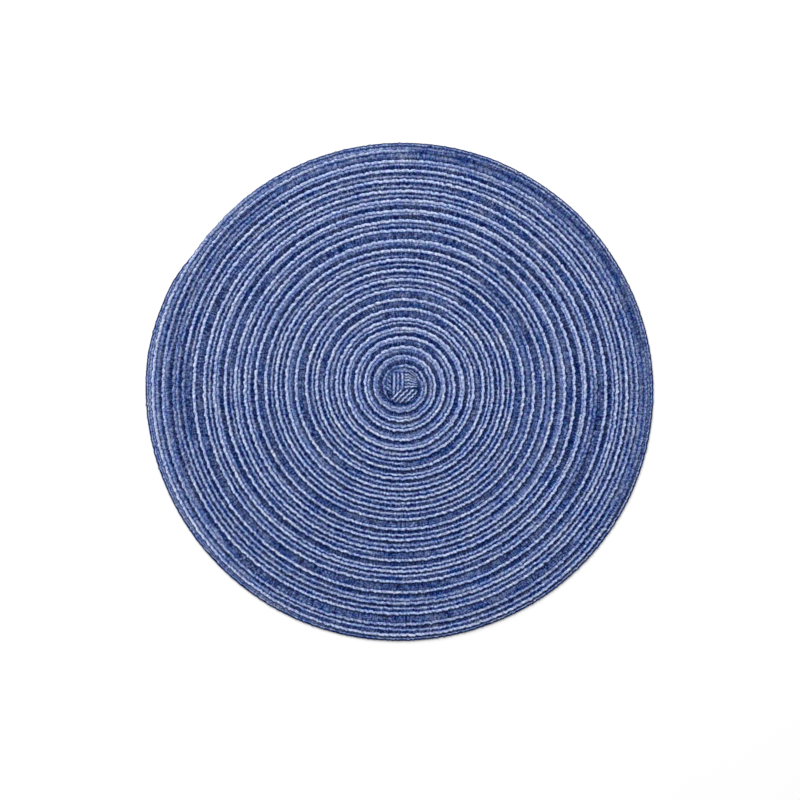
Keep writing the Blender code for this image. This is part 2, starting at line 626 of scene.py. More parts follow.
@dataclass(frozen=True)
class Dyeing:
    """Where along the winding the yarns of the strap are pale, heathered or navy.

    A stretch keeps to its row until the next one starts.  The dye doesn't repeat, so
    the rows go through the whole winding, turn by turn.

    Attributes:
        band: From which turn, in which lane the palest yarn of the band lies, and how
            pale it is.
        rib: From which turn, how pale the edge rib is.
        blends_over: The turns over which one stretch fades into the next.
    """

    band: tuple[tuple[float, Lane, Shade], ...] = (
        (-1.00, MIDDLE, MIST),
        (0.00, CENTRE, BRIGHT), (0.20, NEAR, PALE), (0.44, NEAR, MIST), (0.62, EDGE, PALE),
        (1.14, MIDDLE, PALE), (1.40, NEAR, PALE), (1.90, EDGE, HEATHER),
        (2.10, EDGE, PALE), (2.28, MIDDLE, PALE), (2.86, EDGE, PALE),
        (3.00, NEAR, NAVY), (3.12, MIDDLE, PALE), (3.42, NEAR, HEATHER), (3.56, NEAR, PALE),
        (4.00, EDGE, BRIGHT), (4.36, NEAR, PALE), (4.60, MIDDLE, BRIGHT),
        (5.36, CENTRE, PALE), (5.95, CENTRE, NAVY),
        (6.10, FAR, BRIGHT), (6.22, CENTRE, NAVY), (6.49, FAR, BRIGHT), (6.75, CENTRE, NAVY),
        (7.08, MIDDLE, BRIGHT), (7.60, FAR, BRIGHT), (7.85, CENTRE, NAVY),
        (8.07, CENTRE, BRIGHT), (8.58, CENTRE, NAVY), (8.82, FAR, BRIGHT),
        (9.08, CENTRE, NAVY), (9.13, CENTRE, BRIGHT), (9.60, MIDDLE, HEATHER), (9.91, FAR, BRIGHT),
        (10.08, CENTRE, NAVY), (10.32, CENTRE, PALE), (10.43, FAR, BRIGHT), (10.56, CENTRE, BRIGHT),
        (11.06, MIDDLE, BRIGHT), (11.16, CENTRE, HEATHER), (11.32, FAR, BRIGHT),
        (12.00, CENTRE, NAVY), (12.80, EDGE, HEATHER),
        (13.08, CENTRE, BRIGHT), (13.18, CENTRE, HEATHER), (13.40, CENTRE, BRIGHT),
        (13.62, MIDDLE, PALE), (13.87, CENTRE, NAVY),
        (14.12, NEAR, HEATHER), (14.40, CENTRE, PALE), (14.70, MIDDLE, PALE),
        (15.10, CENTRE, NAVY), (15.34, CENTRE, BRIGHT), (15.46, CENTRE, NAVY), (15.52, FAR, BRIGHT),
        (15.76, CENTRE, NAVY), (15.86, NEAR, PALE),
        (16.00, EDGE, BRIGHT), (16.34, MIDDLE, BRIGHT), (16.60, NEAR, PALE),
        (17.08, MIDDLE, PALE), (17.42, FAR, BRIGHT), (17.60, CENTRE, BRIGHT),
        (18.06, CENTRE, NAVY), (18.86, FAR, BRIGHT),
        (19.04, CENTRE, NAVY), (19.08, MIDDLE, BRIGHT), (19.34, MIDDLE, PALE),
        (19.54, CENTRE, BRIGHT), (19.70, CENTRE, NAVY), (19.76, FAR, BRIGHT),
        (20.32, CENTRE, BRIGHT), (20.70, NEAR, PALE),
        (21.10, CENTRE, PALE), (21.36, CENTRE, NAVY), (21.62, NEAR, HEATHER), (21.77, FAR, BRIGHT),
        (21.90, CENTRE, HEATHER),
        (22.33, CENTRE, BRIGHT), (22.50, FAR, BRIGHT), (22.58, MIDDLE, MIST),
        (23.05, MIDDLE, PALE), (23.16, NEAR, MIST), (23.31, FAR, NAVY), (23.50, EDGE, PALE),
    )
    rib: tuple[tuple[float, Shade], ...] = (
        (-1.00, HEATHER), (-0.04, PALE), (0.96, BRIGHT), (11.10, HEATHER), (11.19, BRIGHT),
        (17.24, HEATHER), (17.34, BRIGHT), (19.44, PALE), (19.70, HEATHER), (19.77, BRIGHT),
        (20.68, HEATHER), (20.90, BRIGHT), (21.02, PALE), (22.00, NAVY), (22.22, HEATHER),
        (22.34, BRIGHT), (22.84, MIST), (23.05, BRIGHT), (23.16, MIST), (23.31, PALE),
        (23.50, MIST), (23.68, PALE),
    )
    blends_over: float = 0.012

    def _follow(
        self, turn: np.ndarray, starts: tuple[float, ...], values: list[float]
    ) -> np.ndarray:
        """Keep to each value from its start on, blending where it changes.

        Args:
            turn: Places on the winding.
            starts: The turns from which the values hold.
            values: The values, one for each start.

        Returns:
            The value at each place.
        """
        changes = np.array(starts[1:])
        places = np.stack([changes, changes + self.blends_over], axis=1).ravel()
        levels = np.stack([values[:-1], values[1:]], axis=1).ravel()
        return np.interp(turn, places, levels)

    def band_at(self, turn: np.ndarray) -> tuple[np.ndarray, np.ndarray]:
        """The palest yarn of the band.

        Args:
            turn: Places on the winding.

        Returns:
            Where it lies, as a share from the last rib to its own, and its tone.
        """
        starts, lanes, shades = zip(*self.band)
        lane = self._follow(turn, starts, [one.value for one in lanes])
        return lane, self._follow(turn, starts, [one.value for one in shades])

    def rib_at(self, turn: np.ndarray) -> np.ndarray:
        """The tone of the edge rib at places on the winding."""
        starts, shades = zip(*self.rib)
        return self._follow(turn, starts, [one.value for one in shades])


@dataclass(frozen=True)
class EdgePlait:
    """The strap's edge rib: two thick yarns that cross and cross back.

    Attributes:
        stitch: Length in which the yarns cross and cross back.
        stitch_stray: How the stitches differ in length, in radians.
        wave: How far the whole rib swings sideways with its stitches.
        jitter, strays: How far it strays besides, and in what steps.
        lumps: Lumps along the rib: how far apart they are, and by how much they change
            its tone.
        lump_stray, lump_run: How far the lumps get out of step, in radians, and over
            how many of them.
        lump_sway: How far the lumps also push the rib sideways, for each unit of tone.
        lump_lead: How far that push comes before the lump, in radians.
        lump_swell: Share by which the yarns are thicker in a lump, for each unit of tone.
        swing: How far each yarn moves to and fro across the rib.
        swing_stray: Share by which that differs from place to place.
        offset: Half the distance between the yarns' mean lines.
        yarn_radius, rise: Size of a yarn, and how far it stands up.
        over: Share by which the upper yarn stands above the lower at a crossing.
        contrast: Half the difference between the two yarns' mean tones.
        cover: How soon a yarn hides what lies under it as it rises.
        hairs: How the tone varies from hair to hair across a yarn.
        strands: How it varies in patches along a yarn.
        outer_yarn, inner_yarn: The numbers of the two yarns.
        snug: Share by which the yarns are squeezed narrower where the winding starts.
        slackens_over: The length of strap after which they have their full size.
        narrower_in_painted_shade: The same share half a turn from the top, where the
        narrower pale rib paints the shade on the ribs' outer flanks.
        rolled: The same share on the rim, where the border is rolled under.
        rolls_from, rolls_over: The turn from which it is rolled, and over how much of a
            turn that comes on.
    """

    snug: float = 0.20
    slackens_over: float = 450.0
    narrower_in_painted_shade: float = 0.16
    rolled: float = 0.30
    rolls_from: float = 22.95
    rolls_over: float = 0.10
    stitch: float = 6.7
    stitch_stray: Stray = Stray(17.0, 1.1, 3.0)
    wave: float = 0.13
    jitter: float = 0.18
    strays: tuple[Stray, ...] = (Stray(1.3, 1.3, 4.0), Stray(3.6, 1.0, 5.0))
    lumps: tuple[tuple[float, float], ...] = ((2.5, 0.060), (3.3, 0.040), (4.9, 0.048))
    lump_stray: float = 3.0
    lump_run: float = 3.0
    lump_sway: float = 1.9
    lump_lead: float = 1.3
    lump_swell: float = 0.8
    swing: float = 0.08
    swing_stray: Stray = Stray(23.0, 0.5, 6.0)
    offset: float = 0.28
    yarn_radius: float = 0.85
    rise: float = 0.55
    over: float = 0.08
    contrast: float = 0.05
    cover: float = 1.2
    hairs: Stray = Stray(0.9, 0.20, 30.0)
    strands: tuple[Stray, ...] = (
        Stray(1.5, 0.08, 0.0),
        Stray(3.0, 0.05, 7.0),
        Stray(7.0, 0.04, 14.0),
        Stray(20.0, 0.05, 21.0),
    )
    outer_yarn: float = 8.0
    inner_yarn: float = 9.0

    def _phase(self, along: np.ndarray) -> np.ndarray:
        """Where in the stitch a place is; stitches are not all of one length."""
        return FULL_TURN * along / self.stitch + self.stitch_stray.at(along)

    def sway(self, along: np.ndarray) -> np.ndarray:
        """Swing the whole rib sideways.

        Args:
            along: Places along the strap.

        Returns:
            How far out the rib lies there: a sine of the stitches, the strays and the
            push of the lumps.
        """
        stray = summed(self.strays, along)
        wave = self.wave * np.sin(self._phase(along)) + self.jitter * stray
        return wave + self.lump_sway * self._lumps(along, self.lump_lead)

    def _lumps(self, along: np.ndarray, turned: float) -> np.ndarray:
        """Add up sines whose phase strays a little.

        Args:
            along: Places along the strap.
            turned: The angle by which all of them are ahead.

        Returns:
            Their sum, in units of tone.
        """
        total = np.zeros_like(along)
        for apart, size in self.lumps:
            stray = Stray(self.lump_run * apart, self.lump_stray, apart).at(along)
            total = total + size * np.sin(FULL_TURN * along / apart + stray + turned)
        return total

    def lay(
        self,
        turn: np.ndarray,
        along: np.ndarray,
        across: np.ndarray,
        base: np.ndarray,
        ground: np.ndarray,
    ) -> tuple[np.ndarray, np.ndarray]:
        """Lay the two yarns over the rib's lanes.

        One yarn's middle moves as a sine of the distance along, the other's as minus
        that sine, and at each crossing they take turns to lie on top.

        Args:
            turn: Places on the winding, as a column.
            along: Their distance along the strap, as a column.
            across: The rib's lanes.
            base: Mean tone of the rib, as a column.
            ground: Tone of each lane where no yarn of the rib covers it.

        Returns:
            Share of a yarn's full rise at each lane, and the tone there.
        """
        phase = self._phase(along)
        side = self.swing * (1.0 + self.swing_stray.at(along)) * np.sin(phase)
        over = self.over * np.cos(phase)
        lumps = self._lumps(along, 0.0)
        # Half a turn from the top the yarns are narrower: painted shade on the ribs' outer flanks
        # there.
        narrowed = self.narrower_in_painted_shade * np.clip(-np.cos(FULL_TURN * turn), 0.0, 1.0)
        rolled = self.rolled * smooth_step(turn, self.rolls_from, self.rolls_over)
        narrowed = np.maximum(narrowed, rolled)
        full = 1.0 - narrowed - self.snug * (1.0 - smooth_step(along, 0.0, self.slackens_over))
        radius = self.yarn_radius * full * (1.0 + self.lump_swell * lumps)
        outer = rounded(across - self.offset * full - side, radius)
        inner = rounded(across + self.offset * full + side, radius)
        hairs = self.hairs.at(along, np.arange(across.shape[1])) + lumps
        outer_patches = summed(self.strands, along, self.outer_yarn)
        inner_patches = summed(self.strands, along, self.inner_yarn)
        outer_tone = base + self.contrast + outer_patches + hairs
        inner_tone = base - self.contrast + inner_patches + hairs
        outer_on_top = outer + over > inner - over
        rise = np.where(outer_on_top, outer * (1.0 + over), inner * (1.0 - over))
        yarn_tone = np.where(outer_on_top, outer_tone, inner_tone)
        shown = np.clip(rise * self.cover, 0.0, 1.0)
        return rise, ground + (yarn_tone - ground) * shown


@dataclass(frozen=True)
class StitchHoles:
    """The row of small gaps between the edge rib and the band, with painted shade in them.

    Attributes:
        place: Where the row lies, from the middle of the edge rib.
        apart: How far apart the gaps are.
        half_width: Half a gap's width across the strap.
        darkens: Share of the tone that a gap takes away: painted shade.
        stray: How far the row gets out of step, in radians.
    """

    place: float = -1.35
    apart: float = 2.9
    half_width: float = 0.60
    darkens: float = 0.60
    stray: Stray = Stray(8.7, 2.5, 21.0)

    def shade(self, along: np.ndarray, across: np.ndarray) -> np.ndarray:
        """Paint shade into the gaps.

        Args:
            along: Distance along the strap, as a column.
            across: Lanes across it.

        Returns:
            The share of the tone that is left: one less the upper half of a cosine along
            the strap times a ridge with straight sides across it.
        """
        phase = FULL_TURN * along / self.apart + self.stray.at(along)
        beat = np.clip(np.cos(phase), 0.0, 1.0)
        reach = np.clip(1.0 - np.abs(across - self.place) / self.half_width, 0.0, 1.0)
        return 1.0 - self.darkens * beat * reach


@dataclass(frozen=True)
class Band:
    """The yarns between the edge rib and the crevice at the turn before.

    Attributes:
        middle_rib: Place of the low rib in the band's middle, from the edge rib's.
        half_width, rise: Size of that rib.
        sunk: How much lower the band lies beside that rib.
        line_half_width: Half the width of the band's one pale yarn.
        line_core: How much fuller than a plain ridge that yarn is.
        heather_spread: How much wider the palest part is in a heathered stretch.
        dark: Tone of the ground beside pale yarns: dark yarn with painted shade of the
        grooves in it; a navy stretch is less dark.
        paler_inside: How much paler that ground is where the winding starts.
        darkens_over: The length of strap over which it darkens to its full depth.
        navy_ground: Tone of the ground in a navy stretch.
        painted_crevice_shade: Share of the tone that is left in the crevice: painted shade.
            crevice_lanes, crevice_fades: In how many of the last lanes that painted shade lies,
            and over how many of them it darkens.
        stitch: Length in which the ribs' yarns cross and cross back.
        chain, chain_stray: How much the yarns swell and shrink with each stitch, and
            how those swellings get out of step, in radians.
        wander, wander_lead, wanders: How far the yarns swing sideways with the
            stitches, how far ahead of them, in radians, and how they stray besides.
        pick_rise, pick_lead: How far the strokes across the band stand up, and how far
            ahead of the stitches they are, in radians.
        picks: How the tone varies in strokes across the strap.
        strands: How it varies in patches along a yarn.
        first_yarn: The number of the yarn in the outermost lane.
        ground_share: Share of that unevenness on the dark ground.
        line_fills: Share of the groove that the pale yarn fills.
    """

    middle_rib: float = -3.2
    half_width: float = 1.1
    rise: float = 0.32
    line_half_width: float = 0.75
    heather_spread: float = 0.90
    dark: float = 0.13
    paler_inside: float = 0.05
    darkens_over: float = 600.0
    navy_ground: float = 0.24
    painted_crevice_shade: float = 0.6
    crevice_lanes: float = 3.0
    crevice_fades: float = 2.0
    sunk: float = 0.12
    line_core: float = 1.3
    stitch: float = 6.7
    chain: float = 0.10
    chain_stray: Stray = Stray(9.0, 1.0, 11.0)
    wander: float = 0.16
    wander_lead: float = 1.0
    wanders: tuple[Stray, ...] = (Stray(3.0, 0.12, 12.0), Stray(40.0, 0.20, 14.0))
    pick_rise: float = 0.05
    pick_lead: float = 0.8
    picks: tuple[Stray, ...] = (Stray(0.9, 0.10, 13.0), Stray(1.5, 0.07, 20.0))
    strands: tuple[Stray, ...] = (
        Stray(1.3, 0.14, 0.0),
        Stray(3.0, 0.10, 7.0),
        Stray(7.0, 0.07, 14.0),
        Stray(20.0, 0.07, 21.0),
    )
    first_yarn: float = 20.0
    ground_share: float = 0.45
    line_fills: float = 0.7

    def line(self, across: np.ndarray, line_at: np.ndarray, shade: np.ndarray) -> np.ndarray:
        """Find how much each lane is the palest yarn, which is widest where heathered.

        Args:
            across: The lanes.
            line_at: Place of the palest yarn.
            shade: Its tone.

        Returns:
            A ridge with straight sides and a flat top, from 0 to 1.
        """
        from_heather = (shade - HEATHER.value) / (HEATHER.value - NAVY.value)
        heather = np.clip(1.0 - np.abs(from_heather), 0.0, 1.0)
        reach = self.line_half_width + self.heather_spread * heather
        return np.clip(self.line_core - np.abs(across - line_at) / reach, 0.0, 1.0)

    def lay(
        self,
        along: np.ndarray,
        across: np.ndarray,
        line_at: np.ndarray,
        shade: np.ndarray,
    ) -> tuple[np.ndarray, np.ndarray, np.ndarray]:
        """Lay the band's yarns.

        Args:
            along: Distance along the strap, as a column.
            across: The band's lanes, at every station.
            line_at: Place of the palest yarn, as a column.
            shade: Tone of that yarn, as a column.

        Returns:
            What the yarns add to the band's slope in millimetres, their tone, and how
            much each place is groove.
        """
        half_stitch = FULL_TURN * 2.0 * along / self.stitch
        swell = np.cos(half_stitch + self.chain_stray.at(along))
        chain = 1.0 - self.chain + self.chain * swell
        wander = self.wander * np.sin(half_stitch / 2.0 + self.wander_lead)
        wander = wander + summed(self.wanders, along)
        middle = rounded(across - self.middle_rib - wander, self.half_width) * chain

        to_navy = (HEATHER.value - shade) / (HEATHER.value - NAVY.value)
        navy = np.clip(to_navy, 0.0, 1.0)
        line = self.line(across, line_at + wander, shade) * chain
        # The ground's dark tone is dark yarn with painted shade of the grooves in it.
        fresh = 1.0 - smooth_step(along, 0.0, self.darkens_over)
        dark = self.dark + self.paler_inside * fresh
        ground = dark + (self.navy_ground - dark) * navy
        lanes = np.arange(across.shape[1])[None, :]
        patches = summed(self.strands, along, self.first_yarn + lanes)
        uneven = summed(self.picks, along) + patches
        lit = np.maximum(line, navy)
        uneven = uneven * (self.ground_share + (1.0 - self.ground_share) * lit)
        tone = ground + (shade - ground) * line + uneven
        # Painted shade: the last lanes, down in the crevice under the turn before, are darkened.
        first_shaded_lane = across.shape[1] - self.crevice_lanes
        crevice = smooth_step(lanes, first_shaded_lane, self.crevice_fades)
        tone = tone * (1.0 - (1.0 - self.painted_crevice_shade) * crevice)
        picks = self.pick_rise * np.cos(half_stitch + self.pick_lead)
        rise = self.rise * middle - self.sunk + picks * (1.0 - middle)
        return rise, tone, 1.0 - self.line_fills * line


@dataclass(frozen=True)
class Strap:
    """The wound strap: a closed tape whose section is carried along the winding.

    Lengths are in millimetres.  Across the strap, 0 is the middle of the edge rib and
    outwards is positive.

    Attributes:
        winding, dyeing: The line that it follows, and the dye along it.
        plait, holes, band: What shows of it, from its edge inwards.
        thickness: One layer of the strap; a lapped turn lies this much higher.
        step: Distance between sections.
        parts: Number of pieces that the strap is made in.
        border: From the rib's middle to the strap's outer border.
        rim_border: The same at the rim, where the border is rolled under.
        rib_lanes, rib_lane_width: Lengthwise lines of vertices that carry the rib.
        rib_inset: From the border to the first of these.
        band_lanes: Lines between the rib and the crevice at the turn before.
        rim_starts: Past this turn no turn lies underneath, and the outer half sinks.
        sinks_over: Turns over which it sinks.
        rolls_ahead, rolls_over: How many turns sooner the border starts to roll under,
            and in how many it is rolled.
        pressed_lift: How high the start is carried where the pad presses it down.
        rises_from, rises_over: The turn from which it rises from there, and over how
            much of a turn.
        crown, foot: Height of the edge rib's ground over the lift, and of the crevice
            over the turn below.
        border_drop: How much lower the border is than the rib's ground.
        edge_drop, edge_from: How much lower that ground is past a place on the rib.
        tucks_in: How far behind the crevice the strap lies flat.
        tucked: The vertices from the inner edge back outwards underneath: their place,
            as pitches and so much more, their height, and how much more it is where
            the turn is lapped.
        lower_border: The same for the last one, its place counted from the border.
        rim_sway: Share of the rib's sway that the border has at the rim.
        rolled_border_shade, border_fades: Share of the tone that the rolled border loses,
        and over what width: painted shade where it rolls under, with dark yarn there too.
        outer_from: The turn from which a strap that isn't lapped is the rim's.
        rib_ground, border_tone, lower_tone: Tones beside the rib's yarns, on the border
        and below it: dark yarn with painted shade of the grooves and under the border.
        border_groove, lower_groove: How much the border and the underside are groove.
        rib_clears: How soon a yarn of the rib is free of the groove as it rises.
        hidden_tone, hidden_stray: Tone of the underside, and how it varies.
        seam_gap: How far the inner border stops short of the next border in.
        map_gap, map_room: On the flat map, the gap beside a row, and the room that a
            row takes up for each unit of its width.
        spot, spot_size: Where on that map the end caps lie, and how small they are.
    """

    winding: Winding = Winding()
    dyeing: Dyeing = Dyeing()
    plait: EdgePlait = EdgePlait()
    holes: StitchHoles = StitchHoles()
    band: Band = Band()
    thickness: float = 1.8
    step: float = 0.80
    parts: int = 5
    border: float = 1.60
    rim_border: float = 1.35
    rib_lanes: int = 8
    rib_lane_width: float = 0.40
    rib_inset: float = 0.15
    band_lanes: int = 9
    rim_starts: float = 22.845
    sinks_over: float = 0.10
    rolls_ahead: float = 0.06
    rolls_over: float = 0.08
    pressed_lift: float = 0.6
    rises_from: float = -0.45
    rises_over: float = 0.30
    crown: float = 1.25
    foot: float = 0.35
    border_drop: float = 0.30
    edge_drop: float = 0.12
    edge_from: float = 1.0
    tucks_in: float = 0.85
    tucked: tuple[tuple[float, float, float, float], ...] = (
        (-2.0, 2.55, 1.50, 0.0),
        (-2.0, 2.55, 0.10, 0.0),
        (-1.0, -0.90, 0.0, 0.0),
        (-1.0, 1.20, 0.0, 1.75),
        (0.0, 0.35, 0.05, 1.80),
    )
    lower_border: tuple[float, float, float] = (-0.20, 0.45, 1.85)
    rim_sway: float = 0.35
    rolled_border_shade: float = 0.80
    border_fades: float = 0.4
    outer_from: float = 20.0
    rib_ground: float = 0.12
    border_tone: float = 0.16
    lower_tone: float = 0.12
    border_groove: float = 0.5
    lower_groove: float = 0.6
    rib_clears: float = 1.4
    hidden_tone: float = 0.42
    hidden_stray: Stray = Stray(60.0, 0.26, 60.0)
    seam_gap: float = 1.2
    map_gap: float = 0.03
    map_room: float = 1.08
    spot: float = 0.999
    spot_size: float = 0.0005

    def lift(self, turn: np.ndarray) -> np.ndarray:
        """How high the strap's outer half is carried, in millimetres.

        Args:
            turn: Places on the winding.

        Returns:
            One strap's thickness on a lapped turn, 0 at the rim, and a little where
            the pad presses the start down.
        """
        risen = smooth_step(turn, self.rises_from, self.rises_over)
        start = self.pressed_lift + (self.thickness - self.pressed_lift) * risen
        return start * (1.0 - smooth_step(turn, self.rim_starts, self.sinks_over))

    def rib_radius(self, turn: np.ndarray) -> np.ndarray:
        """Radius of the rib's middle: on the last turn the winding's line is the border."""
        rolled = smooth_step(turn, self.rim_starts - self.rolls_ahead, self.rolls_over)
        return self.winding.radius(turn) - self.rim_border * rolled

    def build(self, material: bpy.types.Material) -> list[bpy.types.Object]:
        """Make the strap, in parts that meet end to end.

        Args:
            material: The yarn.

        Returns:
            The parts, from the pad outwards.
        """
        turn, along = self.winding.stations(self.step)
        across, height, tone, groove = self._section(turn[:, None], along[:, None])
        radius = self.rib_radius(turn)[:, None] + across
        angle = self.winding.angle(turn)[:, None]
        middle = self.winding.middle
        x = radius * np.cos(angle) - middle[0]
        y = radius * np.sin(angle) - middle[1]
        points = np.stack([x, y, height], axis=2) * MM
        bounds = np.linspace(0, len(turn) - 1, self.parts + 1).astype(int)
        pieces = []
        for number, (first, last) in enumerate(zip(bounds, bounds[1:]), start=1):
            rows = slice(first, last + 1)
            shell = self._shell(
                points[rows], along[rows], across[rows], tone[rows], groove[rows]
            )
            piece = shell.to_object(f"wound_strap_{number}", material)
            pieces.append(self._declare(piece))
        return pieces

    def width(self) -> float:
        """Width of the strap in metres, as it is at the rim."""
        pitch = self.winding.pitch(np.array(self.outer_from))
        return float(2.0 * pitch - self.seam_gap) * MM

    def _declare(self, piece: bpy.types.Object) -> bpy.types.Object:
        """Attach a part to the mat's body; the strap's width is worked out there but not used.

        Args:
            piece: The part.

        Returns:
            The part.
        """
        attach(piece, BODY)
        self.width()
        return piece

    def _section(
        self, turn: np.ndarray, along: np.ndarray
    ) -> tuple[np.ndarray, np.ndarray, np.ndarray, np.ndarray]:
        """The strap's section at every station.

        The columns go once round it: the border, the rib's lanes inwards, the band's
        lanes down to the crevice, the part tucked under the turn before, the inner
        edge, and back outwards underneath.

        Args:
            turn: Places on the winding, as a column.
            along: Their distance along the strap, as a column.

        Returns:
            Places across and heights in millimetres, the tone of each vertex, and how
            much it is groove.
        """
        pitch = self.winding.pitch(turn)
        lift = self.lift(turn)
        lapped = lift / self.thickness
        border = self.rim_border + (self.border - self.rim_border) * lapped
        gap = self.rib_radius(turn) - self.rib_radius(turn - 1.0) - self.border
        even = pitch - self.border
        crevice = even + (gap - even) * smooth_step(lapped, 0.0, 1.0)

        sway = self.plait.sway(along)
        lanes_in = self.rib_lane_width * np.arange(self.rib_lanes)
        rib_across = border - self.rib_inset - lanes_in
        rib_inner = rib_across[:, -1:]
        share = np.arange(1, self.band_lanes + 1) / self.band_lanes
        band_across = rib_inner - share * (crevice + rib_inner)
        crown = self.crown + lift
        foot = self.thickness + self.foot * lapped
        slope = crown + (foot - crown) * share

        lane, shade = self.dyeing.band_at(turn)
        line_at = -(1.0 - lane) * pitch
        # Beside the rib's yarns lies dark yarn with painted groove shade, paler where the pale yarn
        # reaches.
        pale = self.band.line(rib_across, line_at, shade)
        beside = self.rib_ground + (shade - self.rib_ground) * pale
        rib_shade = self.dyeing.rib_at(turn)
        rib_rise, rib_tone = self.plait.lay(turn, along, rib_across, rib_shade, beside)
        # Painted shade, with some dark yarn, where the rim's border rolls under.
        flat = 1.0 - smooth_step(lapped, 0.0, 1.0)
        at_rim = flat * smooth_step(turn, self.outer_from, 1.0)
        rolled = smooth_step(rib_across, 0.0, self.border_fades)
        rib_tone = rib_tone * (1.0 - self.rolled_border_shade * at_rim * rolled)
        band_rise, band_tone, band_groove = self.band.lay(
            along, band_across, line_at, shade
        )
        ones = np.ones_like(turn)
        border_sway = sway * (self.rim_sway + (1.0 - self.rim_sway) * lapped)
        pitches, beyond, level, raised = np.array(self.tucked).T
        lower_inset, lower_level, lower_raised = self.lower_border
        across = np.hstack(
            [
                border + border_sway,
                rib_across + sway,
                band_across + sway * (1.0 - share) ** 2,
                -crevice - self.tucks_in,
                pitches * pitch + beyond,
                border + lower_inset + border_sway,
            ]
        )
        rib_floor = crown - self.edge_drop * (rib_across > self.edge_from)
        height = np.hstack(
            [
                crown - self.border_drop,
                rib_floor + self.plait.rise * rib_rise,
                slope + band_rise,
                self.thickness * ones,
                level + raised * lapped,
                lower_level + lower_raised * lapped,
            ]
        )
        # Painted shade in the stitch gaps.
        rib_tone = rib_tone * self.holes.shade(along, rib_across)
        band_tone = band_tone * self.holes.shade(along, band_across)
        hidden_lanes = np.arange(1 + len(self.tucked))[None, :]
        hidden = self.hidden_tone + self.hidden_stray.at(along, hidden_lanes)
        # The border and its underside: dark yarn with painted shade under the border.
        border_tone, lower_tone = self.border_tone * ones, self.lower_tone * ones
        tone = np.hstack([border_tone, rib_tone, band_tone, hidden, lower_tone])
        rib_groove = 1.0 - np.clip(rib_rise * self.rib_clears, 0.0, 1.0)
        lower_groove = np.full((len(turn), len(self.tucked) + 2), self.lower_groove)
        groove = np.hstack(
            [self.border_groove * ones, rib_groove, band_groove, lower_groove]
        )
        return across, height, tone, groove

    def _shell(
        self,
        points: np.ndarray,
        along: np.ndarray,
        across: np.ndarray,
        tone: np.ndarray,
        groove: np.ndarray,
    ) -> Shell:
        """Close a stretch of sections into one shell.

        Args:
            points: Vertex places in metres, station by station.
            along: Distance of the stations along the strap.
            across: Places across the strap.
            tone: Tone of each vertex.
            groove: How much each vertex is groove.

        Returns:
            The shell, with faces pointing outwards and both ends capped.
        """
        stations, columns = tone.shape
        number = np.arange(stations * columns).reshape(stations, columns)
        next_column = np.roll(number, -1, axis=1)
        faces = np.stack(
            [number[:-1], next_column[:-1], next_column[1:], number[1:]], axis=2
        ).reshape(-1, 4)
        caps = [number[0][::-1], number[-1]]
        return Shell(
            points=points.reshape(-1, 3),
            faces=faces,
            caps=caps,
            maps={
                "yarn": self._yarn_map(along, across),
                "OFBake": self._flat_map(points, caps),
            },
            values={"tone": tone.ravel(), "groove": groove.ravel()},
        )

    def _yarn_map(self, along: np.ndarray, across: np.ndarray) -> np.ndarray:
        """Map the yarn in metres, as it runs along and across the strap.

        Args:
            along: Distance of the stations along the strap.
            across: Places across the strap.

        Returns:
            Corner places, faces first, then caps.
        """
        stations, columns = across.shape
        steps = np.abs(np.diff(across, axis=1, append=across[:, :1]))
        girth = np.concatenate([np.zeros((stations, 1)), np.cumsum(steps, axis=1)], axis=1)
        u = np.repeat(along[:, None], columns + 1, axis=1)
        place = np.stack([u, girth], axis=2) * MM
        corners = np.stack(
            [place[:-1, :-1], place[:-1, 1:], place[1:, 1:], place[1:, :-1]], axis=2
        ).reshape(-1, 2)
        caps = [place[0, :-1][::-1], place[-1, :-1]]
        return np.concatenate([corners, *caps])

    def _flat_map(self, points: np.ndarray, caps: list[np.ndarray]) -> np.ndarray:
        """A map without overlaps: the stretch cut into rows that lie under each other.

        Args:
            points: Vertex places, station by station.
            caps: The two end caps.

        Returns:
            Corner places from 0 to 1, faces first, then caps.
        """
        stations, columns = points.shape[:2]
        lengths = np.linalg.norm(np.diff(points, axis=1, append=points[:, :1]), axis=2)
        girth = lengths.mean(axis=0)
        edge = np.concatenate([[0.0], np.cumsum(girth)]) / girth.sum()
        length = self.step * MM * (stations - 1)
        row_height = girth.sum() * self.map_room
        rows = max(1, int(round(math.sqrt(length / row_height))))
        per_row = math.ceil((stations - 1) / rows)
        station = np.arange(stations - 1)
        row = station // per_row
        start = (station - row * per_row) / per_row
        end = start + 1.0 / per_row
        used = 1.0 - 2.0 * self.map_gap
        low = (row[:, None] + self.map_gap + used * edge[None, :-1]) / rows
        high = (row[:, None] + self.map_gap + used * edge[None, 1:]) / rows
        wide_start = np.repeat(start[:, None], columns, axis=1)
        wide_end = np.repeat(end[:, None], columns, axis=1)
        corners = np.stack(
            [
                np.stack([wide_start, low], axis=2),
                np.stack([wide_start, high], axis=2),
                np.stack([wide_end, high], axis=2),
                np.stack([wide_end, low], axis=2),
            ],
            axis=2,
        ).reshape(-1, 2)
        corner = np.full((2 * len(caps[0]), 2), self.spot)
        corner[:, 0] += self.spot_size * np.cos(np.arange(len(corner)))
        return np.concatenate([corners, corner])


# --- the folded pad ------------------------------------------------------------------


